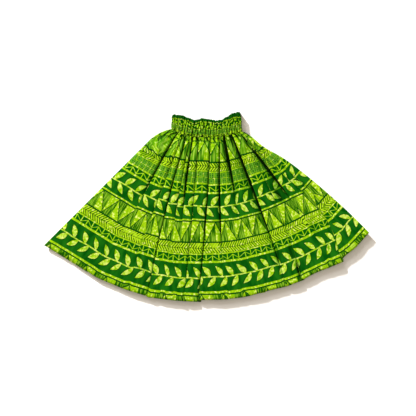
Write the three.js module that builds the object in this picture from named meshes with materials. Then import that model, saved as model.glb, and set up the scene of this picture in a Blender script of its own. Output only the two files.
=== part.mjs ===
// Pa'u skirt, the gathered cotton skirt of hula, laid flat on a table with its front up.
//
// Millimetres, +X to the right, +Y from the hem to the waist, +Z up from the table.
// Four cloth walls make it: a front and a back panel, spread into a fan by their pleats,
// and the front and back of the elastic waist casing that gathers them.

import * as THREE from 'three';

// Plan of the whole skirt
const CASING_SEAM_Y = 294; // middle of the seam under the casing
const SEAM_RISE = 27; // how far the seam climbs to each side
const WAIST_HALF = 149; // half the relaxed waist at the seam
const SEAM_GAP = 0.3; // clearance between sewn pieces

// Cloth
const PANEL_WALL = 1.2;
const CASING_WALL = 3; // two layers of ruched cloth with the elastic between them
const EDGE_ROLL = 6; // radius in plan of the rolled sides
const FOLD_GAP = 2.4; // width of the slot that a pleat dives into
const MOUTH_REACH = 0.09; // share of the length in which the pleats puff up under the seam
const MOUTH_START = 0.22; // share of a pleat's depth already there at the seam
const SHOULDER_REACH = 0.05; // share of the length in which a shoulder swells out
const SHOULDER_FALL = 0.2; // how much a shoulder drops for its width

// Pleats of the front, left to right. Each runs from its place on the seam to the hem.
// shoulder: how far its line starts beyond that place, where the cloth swells out sideways;
// bow: sideways bend of the line; deep: depth of the pleat at the waist, halfway and at the hem;
// step: how much lower the hem ends on the pleat's left side than on its right.
const FRONT_FOLDS = [
  { waist: -149, shoulder: -67, hemX: -683, hemY: -159, bow: 0, deep: [0, 0, 0], step: 0 },
  { waist: -119, shoulder: 0, hemX: -460, hemY: -296, bow: 0, deep: [14, 6, 1.5], step: 0 },
  { waist: -101, shoulder: 0, hemX: -345, hemY: -344, bow: 0, deep: [9, 3, 0.8], step: 0 },
  { waist: -83, shoulder: 0, hemX: -250, hemY: -375, bow: -8, deep: [16, 8, 4], step: -4 },
  { waist: -69, shoulder: 0, hemX: -188, hemY: -385, bow: -3, deep: [9, 3, 0.8], step: 0 },
  { waist: -54, shoulder: 0, hemX: -134, hemY: -391, bow: -7, deep: [16, 4, 0.5], step: 0 },
  { waist: -35, shoulder: 0, hemX: -97, hemY: -394, bow: 6, deep: [14, 7, 2.4], step: 0 },
  { waist: 18, shoulder: 0, hemX: -35, hemY: -393, bow: 8, deep: [17, 10, 4.5], step: 8 },
  { waist: 57, shoulder: 0, hemX: 78, hemY: -387, bow: -7, deep: [16, 7, 1.2], step: 0 },
  { waist: 77, shoulder: 0, hemX: 166, hemY: -376, bow: 14, deep: [16, 4, 0.8], step: 0 },
  { waist: 107, shoulder: 0, hemX: 338, hemY: -332, bow: 9, deep: [20, 11, 2], step: 0 },
  { waist: 127, shoulder: 4, hemX: 400, hemY: -308, bow: 30, deep: [3, 2, 3], step: 0 },
  { waist: 134, shoulder: 12, hemX: 520, hemY: -251, bow: 20, deep: [18, 8, 0.8], step: 0 },
  { waist: 142, shoulder: 15, hemX: 565, hemY: -225, bow: 36, deep: [8, 5, 3], step: 14 },
  { waist: 149, shoulder: 23, hemX: 683, hemY: -107, bow: 20, deep: [0, 0, 0], step: 0 },
];

// Pleats of the back, which lies flat on the table, so that they stand up inside the skirt
const BACK_FOLDS = [
  { waist: -149, shoulder: -67, hemX: -683, hemY: -159, bow: 0, deep: [0, 0, 0], step: 0 },
  { waist: -122, shoulder: 0, hemX: -520, hemY: -260, bow: -4, deep: [3, 2, 1], step: 0 },
  { waist: -95, shoulder: 0, hemX: -356, hemY: -334, bow: -4, deep: [4, 3, 1.5], step: 0 },
  { waist: -62, shoulder: 0, hemX: -196, hemY: -379, bow: -2, deep: [5, 3, 2], step: 0 },
  { waist: -27, shoulder: 0, hemX: -70, hemY: -389, bow: 0, deep: [5, 3, 2], step: 0 },
  { waist: 12, shoulder: 0, hemX: 92, hemY: -384, bow: 2, deep: [5, 3, 2], step: 0 },
  { waist: 50, shoulder: 0, hemX: 232, hemY: -360, bow: 4, deep: [5, 3, 2], step: 0 },
  { waist: 88, shoulder: 0, hemX: 390, hemY: -309, bow: 14, deep: [4, 3, 1.5], step: 0 },
  { waist: 124, shoulder: 8, hemX: 560, hemY: -228, bow: 30, deep: [3, 2, 1], step: 0 },
  { waist: 149, shoulder: 23, hemX: 683, hemY: -107, bow: 20, deep: [0, 0, 0], step: 0 },
];

// Height of the front above the table, from the seam (0) to the hem (1):
// crown along the middle, rim just inside the sides
const FRONT_HEIGHTS = [
  { at: 0, crown: 22, rim: 9 },
  { at: 0.09, crown: 33, rim: 11 },
  { at: 0.35, crown: 20, rim: 8 },
  { at: 0.7, crown: 12.5, rim: 6.5 },
  { at: 1, crown: 9, rim: 5.5 },
];
const CROWN_POWER = 3; // how squarely the front rises from its sides
const BACK_PLEAT_TOP = 5; // tallest pleat of the back, at the waist
const BACK_PLEAT_HEM = 2; // and at the hem
const LAYER_GAP = 0.4; // clearance between the front's underside and the back

// Waist casing
const CASING_TOP_HALF = 143;
const CASING_HEIGHT = 75;
const CASING_CROWN = 22;
const CASING_RIM = 10;
const CHANNELS = 3; // rows of elastic
const CHANNEL_SWELL = 1.6;
const RUFFLE_PITCH = 21; // coarse waves of the ruching
const RUFFLE_SWELL = 0.8;
// Height of the casing's top edge above an even line, by place across it
const TOP_EDGE = [
  { at: -143, lift: -8 },
  { at: -134, lift: 1 },
  { at: -102, lift: 6 },
  { at: -75, lift: 0 },
  { at: -50, lift: -5 },
  { at: -13, lift: 5 },
  { at: 8, lift: 1 },
  { at: 42, lift: -6 },
  { at: 62, lift: -6 },
  { at: 83, lift: 2 },
  { at: 110, lift: 12 },
  { at: 130, lift: 7 },
  { at: 143, lift: -8 },
];

// Sampling
const PANEL_ROWS = [0, 0.012, 0.03, 0.05, 0.09, 0.15, 0.24, 0.36, 0.5, 0.66, 0.83, 1];
const FACE_STEPS = [0, 0.08, 0.25, 0.5, 0.75, 0.92, 1];
const BACK_ROWS = [0, 0.012, 0.03, 0.05, 0.2, 0.45, 0.72, 1];
const BACK_FACE_STEPS = [0, 0.05, 0.35, 0.65, 0.95, 1];
const CASING_COLUMNS = 56;
const CASING_ROWS = 9;

const lerp = THREE.MathUtils.lerp;
const clamp = THREE.MathUtils.clamp;

// Smooth reading of a short table whose rows are sorted by their "at" column
function readTable(table, at, column) {
  let row = 0;
  while (row < table.length - 2 && at > table[row + 1].at) row += 1;
  const below = table[row];
  const above = table[row + 1];
  const share = clamp((at - below.at) / (above.at - below.at), 0, 1);
  return lerp(below[column], above[column], share * share * (3 - 2 * share));
}

function seamY(x) {
  return CASING_SEAM_Y + SEAM_RISE * (x / WAIST_HALF) ** 2;
}

// Point of a pleat's line in plan, from the seam (down = 0) to the hem (down = 1).
// side is -1 for the cloth on its left and +1 for the cloth on its right.
function foldPoint(fold, side, down) {
  const swell = fold.shoulder * (1 - (1 - clamp(down / SHOULDER_REACH, 0, 1)) ** 2);
  const fall = SHOULDER_FALL * Math.abs(swell);
  const start = new THREE.Vector2(fold.waist + swell, seamY(fold.waist) - fall);
  const end = new THREE.Vector2(fold.hemX, fold.hemY);
  const along = end.clone().sub(start).normalize();
  const across = new THREE.Vector2(-along.y, along.x);
  end.addScaledVector(along, (-side * fold.step) / 2);
  const point = start.lerp(end, down);
  return point.addScaledVector(across, 4 * fold.bow * down * (1 - down));
}

// Depth of a pleat below the faces beside it
function foldDepth(fold, down) {
  const [waist, mid, hem] = fold.deep;
  const depth = down < 0.5 ? lerp(waist, mid, down * 2) : lerp(mid, hem, down * 2 - 1);
  const puff = clamp(down / MOUTH_REACH, 0, 1);
  return depth * lerp(MOUTH_START, 1, puff);
}

// Quarter-round fall towards an edge: 0 beyond the radius, 1 at the edge itself
function rollOff(distance, radius) {
  const inside = clamp(1 - distance / radius, 0, 1);
  return 1 - Math.sqrt(1 - inside * inside);
}

// A panel's outer surface, as rows of points from the seam to the hem.
// heightAt(across, down) is the height of its faces, fall(depth, width, height, down) the depth
// that a pleat may have there, and edgeHeight the height of its two sides.
function panelSurface(folds, rows, steps, heightAt, fall, edgeHeight) {
  const last = folds.length - 2;
  return rows.map((down) => {
    const left = foldPoint(folds[0], 1, down);
    const right = foldPoint(folds[last + 1], -1, down);
    const points = [];
    for (let face = 0; face <= last; face += 1) {
      const start = foldPoint(folds[face], 1, down);
      const end = foldPoint(folds[face + 1], -1, down);
      const sewnStart = foldPoint(folds[face], 1, 0);
      const sewnEnd = foldPoint(folds[face + 1], -1, 0);
      const width = start.distanceTo(end);
      const inset = Math.min(FOLD_GAP / 2 / width, 0.2);
      for (const step of steps) {
        const share = lerp(face === 0 ? 0 : inset, face === last ? 1 : 1 - inset, step);
        const plan = start.clone().lerp(end, share);
        const across = ((plan.x - left.x) / (right.x - left.x)) * 2 - 1;
        const height = heightAt(across, down);
        const dive = fall(foldDepth(folds[face + 1], down), width, height, down);
        const lip = fall(foldDepth(folds[face], down), width, height, down) / 4;
        let z = height;
        z -= dive * rollOff((1 - step) * width, Math.min(0.45 * width, 3 + Math.abs(dive)));
        z -= lip * rollOff(step * width, Math.min(0.25 * width, 2 + Math.abs(lip)));
        if (face === 0) z -= (height - edgeHeight) * rollOff(step * width, EDGE_ROLL);
        if (face === last) z -= (height - edgeHeight) * rollOff((1 - step) * width, EDGE_ROLL);
        const sewn = sewnStart.clone().lerp(sewnEnd, share);
        const sag = (seamY(sewn.x) - sewn.y) * (1 - clamp(down / MOUTH_REACH, 0, 1));
        points.push(new THREE.Vector3(plan.x, plan.y + sag, z));
      }
    }
    return points;
  });
}

// Unit normals of a grid of points, on the side that faces up
function gridNormals(grid) {
  const pick = (row, column) => {
    const line = grid[clamp(row, 0, grid.length - 1)];
    return line[clamp(column, 0, line.length - 1)];
  };
  return grid.map((line, row) => line.map((point, column) => {
    const across = pick(row, column + 1).clone().sub(pick(row, column - 1));
    const along = pick(row - 1, column).clone().sub(pick(row + 1, column));
    return across.cross(along).normalize();
  }));
}

// The same surface moved by the thickness of the wall, kept above the given height.
// Its first and last rows stay below their own points, so that sewn edges keep their gap.
function offsetGrid(grid, distance, lowest) {
  const normals = gridNormals(grid);
  return grid.map((line, row) => line.map((point, column) => {
    const moved = point.clone().addScaledVector(normals[row][column], distance);
    moved.z = Math.max(moved.z, lowest);
    if (row === 0 || row === grid.length - 1) moved.y = point.y;
    return moved;
  }));
}

// Closed wall between two grids of the same size, the upper one first
function wallGeometry(upper, lower) {
  const rows = upper.length;
  const columns = upper[0].length;
  const positions = [upper, lower].flatMap((grid) => grid.flat()).flatMap((p) => [p.x, p.y, p.z]);
  const indices = [];
  const top = (row, column) => row * columns + column;
  const bottom = (row, column) => rows * columns + top(row, column);
  const quad = (a, b, c, d) => indices.push(a, b, c, a, c, d);
  for (let row = 0; row < rows - 1; row += 1) {
    for (let column = 0; column < columns - 1; column += 1) {
      quad(top(row, column), top(row + 1, column), top(row + 1, column + 1), top(row, column + 1));
      quad(
        bottom(row, column), bottom(row, column + 1),
        bottom(row + 1, column + 1), bottom(row + 1, column),
      );
    }
    quad(top(row, 0), bottom(row, 0), bottom(row + 1, 0), top(row + 1, 0));
    quad(
      top(row + 1, columns - 1), bottom(row + 1, columns - 1),
      bottom(row, columns - 1), top(row, columns - 1),
    );
  }
  for (let column = 0; column < columns - 1; column += 1) {
    quad(top(0, column + 1), bottom(0, column + 1), bottom(0, column), top(0, column));
    quad(
      top(rows - 1, column), bottom(rows - 1, column),
      bottom(rows - 1, column + 1), top(rows - 1, column + 1),
    );
  }
  const geometry = new THREE.BufferGeometry();
  geometry.setAttribute('position', new THREE.Float32BufferAttribute(positions, 3));
  geometry.setIndex(indices);
  geometry.computeVertexNormals();
  return geometry;
}

function pieceMesh(name, geometry, color, roughness) {
  const material = new THREE.MeshStandardMaterial({ color, roughness, metalness: 0 });
  const mesh = new THREE.Mesh(geometry, material);
  mesh.name = name;
  return mesh;
}

// Front panel: faces that dive under one another, each pleat's right side over its left
function frontPanel() {
  const heightAt = (across, down) => {
    const crown = readTable(FRONT_HEIGHTS, down, 'crown');
    const rim = readTable(FRONT_HEIGHTS, down, 'rim');
    return rim + (crown - rim) * (1 - Math.abs(across) ** CROWN_POWER);
  };
  const fall = (depth, width, height, down) => {
    const backTop = PANEL_WALL + lerp(BACK_PLEAT_TOP, BACK_PLEAT_HEM, down);
    const room = height - backTop - PANEL_WALL - LAYER_GAP;
    return Math.min(depth, 0.9 * width, Math.max(room, 0));
  };
  const underside = PANEL_WALL + LAYER_GAP;
  const edge = underside + PANEL_WALL;
  const outer = panelSurface(FRONT_FOLDS, PANEL_ROWS, FACE_STEPS, heightAt, fall, edge);
  return wallGeometry(outer, offsetGrid(outer, -PANEL_WALL, underside));
}

// Back panel: flat on the table, its pleats standing up inside
function backPanel() {
  const fall = (depth) => -depth;
  const under = panelSurface(BACK_FOLDS, BACK_ROWS, BACK_FACE_STEPS, () => 0, fall, 0);
  return wallGeometry(offsetGrid(under, PANEL_WALL, PANEL_WALL), under);
}

// Plan of the casing: share runs across it, up from its seam to its top edge
function casingPoint(share, up) {
  const x = lerp(WAIST_HALF, CASING_TOP_HALF, up) * share;
  const bottom = seamY(x) + SEAM_GAP;
  const topEdge = seamY(x) + CASING_HEIGHT + readTable(TOP_EDGE, x, 'lift');
  return new THREE.Vector2(x, lerp(bottom, topEdge, up));
}

function casingGrid(columns, rows, heightAt) {
  return Array.from({ length: rows }, (_, row) => {
    const up = 1 - row / (rows - 1);
    return Array.from({ length: columns }, (__, column) => {
      const share = (column / (columns - 1)) * 2 - 1;
      const plan = casingPoint(share, up);
      return new THREE.Vector3(plan.x, plan.y, heightAt(share, up, plan.x));
    });
  });
}

// Front of the casing: three swelling rows of elastic, ruched into small waves
function casingFront() {
  const underside = CASING_WALL + LAYER_GAP;
  const edge = underside + CASING_WALL;
  const outer = casingGrid(CASING_COLUMNS, CASING_ROWS, (share, up, x) => {
    const swell = CHANNEL_SWELL * Math.abs(Math.sin(CHANNELS * Math.PI * up));
    const ruffle = RUFFLE_SWELL * Math.sin((2 * Math.PI * x) / RUFFLE_PITCH);
    const dome = CASING_RIM + (CASING_CROWN - CASING_RIM) * (1 - Math.abs(share) ** CROWN_POWER);
    const height = dome + swell + ruffle - 2 * up;
    const roll = rollOff((1 - Math.abs(share)) * WAIST_HALF, EDGE_ROLL);
    return height - (height - edge) * roll;
  });
  return wallGeometry(outer, offsetGrid(outer, -CASING_WALL, underside));
}

// Back of the casing: flat on the table
function casingBack() {
  const under = casingGrid(CASING_COLUMNS / 2, 5, () => 0);
  return wallGeometry(offsetGrid(under, CASING_WALL, CASING_WALL), under);
}

const skirt = new THREE.Group();
skirt.add(pieceMesh('skirt_front', frontPanel(), 0x5f9a12, 0.85));
skirt.add(pieceMesh('skirt_back', backPanel(), 0x558c10, 0.85));
skirt.add(pieceMesh('waist_casing_front', casingFront(), 0x4d8411, 0.85));
skirt.add(pieceMesh('waist_casing_back', casingBack(), 0x477a10, 0.85));

export default skirt;
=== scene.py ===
import math

import bmesh
import bpy
import numpy as np
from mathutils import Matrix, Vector


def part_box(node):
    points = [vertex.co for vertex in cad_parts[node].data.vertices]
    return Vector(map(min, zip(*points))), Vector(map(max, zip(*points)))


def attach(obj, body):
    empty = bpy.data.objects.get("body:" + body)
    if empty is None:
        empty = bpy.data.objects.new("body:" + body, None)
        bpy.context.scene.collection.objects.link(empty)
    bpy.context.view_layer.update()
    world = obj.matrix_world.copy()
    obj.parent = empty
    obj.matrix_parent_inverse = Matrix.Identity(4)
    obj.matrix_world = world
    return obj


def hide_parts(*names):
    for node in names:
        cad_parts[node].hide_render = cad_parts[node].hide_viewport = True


# Pa'u skirt: the gathered cotton skirt of hula, laid flat with its front up.
# Metres, +X to the right, +Y from the hem to the waist, +Z up from the table.

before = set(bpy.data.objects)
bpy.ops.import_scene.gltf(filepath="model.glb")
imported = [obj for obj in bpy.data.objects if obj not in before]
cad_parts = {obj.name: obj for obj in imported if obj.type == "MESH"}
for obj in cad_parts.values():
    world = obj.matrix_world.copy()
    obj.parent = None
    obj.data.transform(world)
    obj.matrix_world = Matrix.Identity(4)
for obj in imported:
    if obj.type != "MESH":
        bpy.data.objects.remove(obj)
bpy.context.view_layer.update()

# ---------------------------------------------------------------- sizes

HALF_SPREAD_MM = 683  # the pattern's tables are in millimetres, on this half spread of the hem
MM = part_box("skirt_front")[1].x / HALF_SPREAD_MM

SEAM_Y = 294  # middle of the seam under the casing
SEAM_RISE = 27
SEAM_LEFT_RISE = 9  # more at its left end
WAIST_HALF = 149
MOUTH_REACH = 0.09  # share of the length in which the pleats puff up under the seam
MOUTH_START = 0.22
SHOULDER_REACH = 0.05
SHOULDER_FALL = 0.334
SIDE_ROLL = 9  # radius of the rolled sides
# Heights of the front's side edges, from the seam (0) to the hem (1)
SIDE_HEIGHTS = dict(at=(0, 0.1, 0.6, 1), left=(6, 3.4, 4.2, 7.8), right=(6, 3.4, 4.5, 9.8))
CLOTH = 0.9  # broadcloth with its gathers, as a wall
CASING_CLOTH = 0.45
HEM_TURN = 12  # depth of the turned-up hem
HEM_TURN_ROWS = 3
HEM_TURN_DROP = 1.9  # how far the turned-up cloth lies under the front
HEM_DRAG_START = 0.88  # share of the length where the hem's drag on the print starts
PINCH_AT, PINCH_REACH = 0.14, 0.1  # shares of the length
LOOSE_PRINT = 14  # how far crumpled cloth moves the print
FRONT_LEAST_HEIGHT = 2.2
BACK_HEIGHT = 0.75
BACK_BELOW = 2.1  # how far the back's side edges lie under the front's

# How finely each panel is divided: steps across a face and a lap, and levels down its length
FRONT_FACE_STEPS, FRONT_LEVELS = 22, 104
BACK_FACE_STEPS, BACK_LEVELS = 16, 80
LAP_STEPS = 9

PLACES = (0, 0.15, 0.3, 0.5, 1)  # shares of the length, from the seam to the hem

# Pleats of the front, left to right, from the seam to the hem.
# Numbers in threes are at the seam, halfway and at the hem; those in fives at PLACES.
# waist and hem: where its line starts and ends; shoulder: how far it spreads just under the seam.
# bow and sway: how far it bends to the right, once or in an S; step: how much lower the cloth on
# its left hangs at the hem; pinch: how far its line is drawn in below the shoulder.
# deep: height of the lip on the pleat's right over the cloth on its left, which also sets how dark the
# painted shade in its gutter is.
# lap: width tucked under the lip, or less than zero the width of an open ramp.
# roll: width in which the cloth on the left rounds down into the pleat, and over which its painted shade
# softens; gap: its gutter, painted dark.
# A single number that a row leaves out is 0.
# The last three columns are of the cloth on the pleat's right: along and lift place the print
# on it, and spread is how much more cloth it holds than its width. These three were fitted by
# other programs and then changed in part by hand, so they aren't design sizes.
FRONT_PLEATS = [
    dict(waist=-149, shoulder=-67, hem=(-683, -159), bow=0, sway=0, step=0, pinch=0,
         deep=(0, 0, 0), lap=(0, 0, 0), roll=(1, 1, 1), gap=(0, 0, 0),
         along=(-3, -3, -3), lift=(15, 12, 6, 3, 3), spread=(1.03, 1.03, 1.03)),
    dict(waist=-119, hem=(-460, -296),
         deep=(20, 16, 11, 0, -4), lap=(9, 9, 7, 0, -20), roll=(12, 11, 10), gap=(6.5, 6.5, 4.5, -1, 0),
         along=(238, 242, 255), lift=(0, 0, 4), spread=(1.06, 1.06, 1.08)),
    dict(waist=-101, hem=(-345, -344),
         deep=(5, 4, 4, 3, -1), lap=(7, 7, 6, 5, -22), roll=(10, 14, 14), gap=(0, 0, 0),
         along=(382, 377, 369), lift=(-5, -7, -2), spread=(1.09, 1.09, 1.09)),
    dict(waist=-83, hem=(-250, -375), bow=-8, step=-4,
         deep=(8, 11, 14, 10, 5), lap=(9, 9, 8), roll=(12, 8, 6), gap=(1, 2, 5.5, 3, 2.5),
         along=(480, 484, 490), lift=(-5, -4, 0), spread=(1.06, 1.06, 1.06)),
    dict(waist=-69, hem=(-188, -385), bow=-3,
         deep=(6, 5, 4, 3, -2), lap=(5, 5, 4, -4, -16), roll=(9, 10, 12), gap=(1, 0, 0),
         along=(566, 564, 556), lift=(6, 2, -1), spread=(1.03, 1.03, 1.03)),
    dict(waist=-54, hem=(-134, -391), bow=-7,
         deep=(24, 22, 9, 2, -2), lap=(9, 9, 4, -6, -14), roll=(10, 8, 10), gap=(11, 11, 6, 0, 0),
         along=(615, 617, 610), lift=(-4, -2, 1), spread=(1.03, 1.03, 1.03)),
    dict(waist=-35, hem=(-97, -394), bow=6,
         deep=(7, 6, 7, 7, 2), lap=(9, 7, -4), roll=(10, 8, 8), gap=(1.5, 1.5, 2.2, 2, 1),
         along=(680, 686, 661), lift=(-5, -5, 1), spread=(1.06, 1.06, 1.06)),
    dict(waist=18, hem=(-35, -393), bow=8, step=8,
         deep=(9, 10, 12, 13, 6.5), lap=(10, 10, 8), roll=(14, 10, 8), gap=(1.5, 2, 4, 5.5, 5),
         along=(732, 746, 738), lift=(12, 8, 0), spread=(1.0, 1.0, 1.0)),
    dict(waist=57, hem=(78, -387), bow=-7,
         deep=(9, 12, 14, 11, -10), lap=(9, 9, -20), roll=(14, 10, 9), gap=(1, 4, 6.5, 6, -4),
         along=(858, 856, 842), lift=(16, 8, -2), spread=(1.15, 1.15, 1.15)),
    dict(waist=77, hem=(166, -376), bow=14,
         deep=(24, 22, 6, 1, 0.8), lap=(8, 7, -8, -14, -24), roll=(14, 18, 18), gap=(13, 13, 2, 0, 0),
         along=(880, 903, 932), lift=(16, 10, -2), spread=(1.4, 1.3, 1.06)),
    dict(waist=107, hem=(338, -332), bow=9,
         deep=(24, 22, 20, 13, 2), lap=(10, 10, -6), roll=(20, 26, 36, 28, 18), gap=(7, 8, 10, 6, -6),
         along=(1092, 1097, 1111), lift=(6, 3, 2), spread=(1.1, 1.1, 1.1)),
    dict(waist=127, shoulder=4, hem=(400, -308), bow=30,
         deep=(5, 4, 4, 4, 4), lap=(6, 6, 6, 6, 8), roll=(8, 10, 10), gap=(0, 0, 1),
         along=(1205, 1228, 1214), lift=(12, 5, 5), spread=(1.06, 1.06, 1.06)),
    dict(waist=134, shoulder=12, hem=(520, -251), bow=20, pinch=2,
         deep=(24, 20, 18, 4, -6), lap=(9, 9, 7, -4, -20), roll=(24, 30, 36, 22, 16), gap=(7, 11, 12, -1, -8),
         along=(1370, 1376, 1358), lift=(14, 4, -1), spread=(1.3, 1.3, 1.33)),
    dict(waist=142, shoulder=15, hem=(565, -225), bow=46, sway=-22, step=14, pinch=5,
         deep=(6, 3, 3.5), lap=(4, 3, 6), roll=(6, 8, 8), gap=(2, 0, 0.5),
         along=(1445, 1445, 1452), lift=(22, 7, -1), spread=(1.1, 1.1, 1.0)),
    dict(waist=146, shoulder=19, hem=(624, -172), bow=28, sway=-6, pinch=8,
         deep=(4, 4, 4, 3, -1), lap=(4, 5, 5, 5, -14), roll=(6, 14, 14), gap=(0, 0, 0),
         along=(1500, 1512, 1512), lift=(18, 9, 0), spread=(1.08, 1.08, 1.12)),
    dict(waist=149, shoulder=23, hem=(684, -106), bow=20, pinch=10,
         deep=(0, 0, 0), lap=(0, 0, 0), roll=(1, 1, 1), gap=(0, 0, 0),
         along=(0, 0, 0), lift=(0, 0, 0), spread=(1.0, 1.0, 1.0)),
]

# At the hem, for each face of cloth from left to right: how much lower the print lies (fitted,
# as above), and how far the outline bends inwards
HEM_DRAG = (-2.3, 0, 4.7, 4.7, 5, 3.2, 1.2, 2.5, 7, 5, 0, -2, 5, 4.5, 0.5)
HEM_ARCH = (4, 0, 0, 0, 0, 0, 0, 0, 0, 1.5, 0, 4, 0, 0, 0)

# Short troughs of the gathering, between the pleats: their reach is a share of the length, and their depth
# also sets the painted shade in them
FRONT_GATHERS = dict(
    waist=(-139, -131, -110, -92, -76, -62, -45, -22, -14, -4, 7, 12, 28, 42, 49, 67, 90, 98, 116, 123),
    deep=(6, 5, 5, 6, 5, 6, 6, 4, 8, 4, 6, 10, 6, 9, 4, 7, 6, 5, 7, 5),
    width=(3, 2.5, 2.5, 3, 2.5, 2.5, 3, 2.2, 3, 2.2, 2.5, 3, 3, 3, 2.2, 3, 3, 2.5, 3, 2.5),
    reach=(0.09, 0.05, 0.06, 0.1, 0.05, 0.07, 0.1, 0.04, 0.09, 0.05, 0.06, 0.16, 0.08, 0.05, 0.12, 0.09,
           0.14, 0.06, 0.12, 0.06),
)

# Soft folds of the front, from one end to the other, with their widths and how dark they are: dark is the
# painted shade along each fold, and also sets how deep it sinks
SOFT_FOLDS = [
    dict(start=(-149, 284), end=(-197, 253), width=8, dark=0.55),
    dict(start=(-170, 300), end=(-290, 215), width=55, dark=0.3),
    dict(start=(166, 284), end=(208, 240), width=8, dark=0.35),
    dict(start=(116, 103), end=(130, 56), width=9, dark=0.35),
    dict(start=(284, 78), end=(322, 18), width=11, dark=0.75),
    dict(start=(296, -160), end=(304, -230), width=9, dark=0.7),
    dict(start=(340, -150), end=(366, -222), width=8, dark=0.65),
    dict(start=(378, -226), end=(395, -292), width=11, dark=0.9),
    dict(start=(438, -60), end=(470, -120), width=12, dark=0.45),
    dict(start=(496, -112), end=(514, -180), width=7, dark=0.35),
    dict(start=(-418, -146), end=(-405, -215), width=8, dark=0.22),
    dict(start=(-262, -225), end=(-256, -335), width=11, dark=0.35),
    dict(start=(-62, 160), end=(-78, 84), width=6, dark=0.3),
    dict(start=(36, 250), end=(40, 170), width=6, dark=0.25),
    dict(start=(160, -150), end=(176, -260), width=9, dark=0.16),
]

# Pleats of the back, which lies flat on the table, so that they stand up inside the skirt
BACK_PLEATS = [
    dict(waist=-149, shoulder=-67, hem=(-683, -159), bow=0, deep=(0, 0, 0), lap=(0, 0, 0), along=0, pinch=0),
    dict(waist=-122, hem=(-520, -260), bow=-4, deep=(3, 3, 3), lap=(8, 12, 14), along=220),
    dict(waist=-95, hem=(-356, -334), bow=-4, deep=(4, 3.5, 3), lap=(9, 16, 12), along=440),
    dict(waist=-62, hem=(-196, -379), bow=-2, deep=(5, 4, 3), lap=(10, 16, 16), along=640),
    dict(waist=-27, hem=(-70, -389), deep=(5, 4, 3), lap=(10, 14, 12), along=810),
    dict(waist=12, hem=(92, -384), bow=2, deep=(5, 4, 3), lap=(10, 18, 18), along=1010),
    dict(waist=50, hem=(232, -360), bow=4, deep=(5, 4, 3), lap=(10, 14, 10), along=1190),
    dict(waist=88, hem=(390, -309), bow=14, deep=(4, 3.5, 3), lap=(8, 14, 14), along=1400),
    dict(waist=124, shoulder=8, hem=(560, -228), bow=30, deep=(3, 3, 3), lap=(6, 10, 12), along=1620,
         pinch=4),
    dict(waist=149, shoulder=23, hem=(683, -107), bow=20, deep=(0, 0, 0), lap=(0, 0, 0), along=0,
         pinch=10),
]
for pleat in BACK_PLEATS:
    pleat.update(sway=0, step=0, roll=(8, 10, 10), gap=(0, 0, 0), lift=(0, 0, 0), spread=(1, 1, 1),
                 along=(pleat["along"],) * 3)

# Height of the front above the table from the seam (0) to the hem (1)
FRONT_HEIGHTS = dict(at=(0, 0.09, 0.35, 0.7, 1), crown=(22, 33, 20, 12.5, 9.3), rim=(9, 11, 8, 7, 7.8))
CROWN_POWER = 3
CORNER_RISE = 2.2  # more at the right corner of the hem, which curls up

# Waist casing
CASING_TOP_HALF = 145
CASING_HEIGHT = 75
CASING_CROWN = 25
CASING_RIM = 14
CASING_SIDE = 8.5  # height of its side edges
CASING_CHANNELS = (0.0, 0.27, 0.54, 0.81)  # rows of stitching between the elastics
RUFFLES = 43  # across the front of the casing
RUFFLE_CURL = 2.02  # steepest slope of a ruffle, in radians
RUFFLE_STEPS = 12  # across each ruffle
RUFFLE_CLOTH = 33.0  # print from one ruffle to the next
CASING_ROWS = 40
CASING_PRINT_START = 687  # place of the casing's print above the hem, and how much of it there is
CASING_PRINT = 130
CHANNEL_REACH = 0.13  # share of the height that a row of stitching draws in
TOP_EDGE = dict(
    at=(-145, -141, -134, -102, -75, -50, -13, 8, 42, 62, 83, 110, 130, 138, 142, 145),
    lift=(-20, -12, -6, 5, 0, -5, 5, 1, -6, -6, 2, 12, 11, 9, 5, -2),
)
FRILL = dict(at=(-145, -60, 20, 80, 120, 145), more=(9, 5, 0, 4, 15, 12))  # print moved down at the frill

# ---------------------------------------------------------------- numbers


def lerp(a, b, share):
    return a + (b - a) * share


def smooth(share):
    share = np.clip(share, 0, 1)
    return share * share * (3 - 2 * share)


def read_table(table, column, at):
    """Smooth reading of a short table at one place or at many."""
    places, values = np.array(table["at"], float), np.array(table[column], float)
    row = np.clip(np.searchsorted(places, at, side="right") - 1, 0, len(places) - 2)
    share = (at - places[row]) / (places[row + 1] - places[row])
    return lerp(values[row], values[row + 1], smooth(share))


def five_values(values):
    """Numbers in threes, at the waist, halfway and at the hem, filled up to numbers in fives."""
    if len(values) == 5:
        return values
    waist, middle, hem = values
    return (waist, lerp(waist, middle, 0.3), lerp(waist, middle, 0.6), middle, hem)


def at_places(values, down):
    """Each pleat's value at one level, read between its five places."""
    return np.array([np.interp(down, PLACES, row) for row in values])


def roll_off(distance, radius):
    """Quarter-round fall towards an edge: 0 beyond the radius, 1 at the edge itself."""
    inside = np.clip(1 - distance / radius, 0, 1)
    return 1 - np.sqrt(1 - inside * inside)


def seam_y(x):
    return SEAM_Y + SEAM_RISE * (x / WAIST_HALF) ** 2 + SEAM_LEFT_RISE * smooth((-x - 100) / 49)


def drift(a, b):
    """Slow uneven waves between -1 and 1, for cloth that nobody smoothed out."""
    waves = np.sin(a * 1.0 + 1.7 * np.sin(b * 0.6 + 0.4)) + 0.6 * np.sin(a * 2.3 - b * 0.9 + 2.1)
    return (waves + 0.4 * np.sin(a * 4.1 + b * 1.6 + 0.8)) / 2


# ---------------------------------------------------------------- pleated panels


def pleat_columns(pleats):
    columns = {}
    for name, first in pleats[0].items():
        values = [pleat.get(name, 0) for pleat in pleats]
        if isinstance(first, tuple) and len(first) > 2:
            values = [five_values(value) for value in values]
        columns[name] = np.array(values, float)
    return columns


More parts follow.
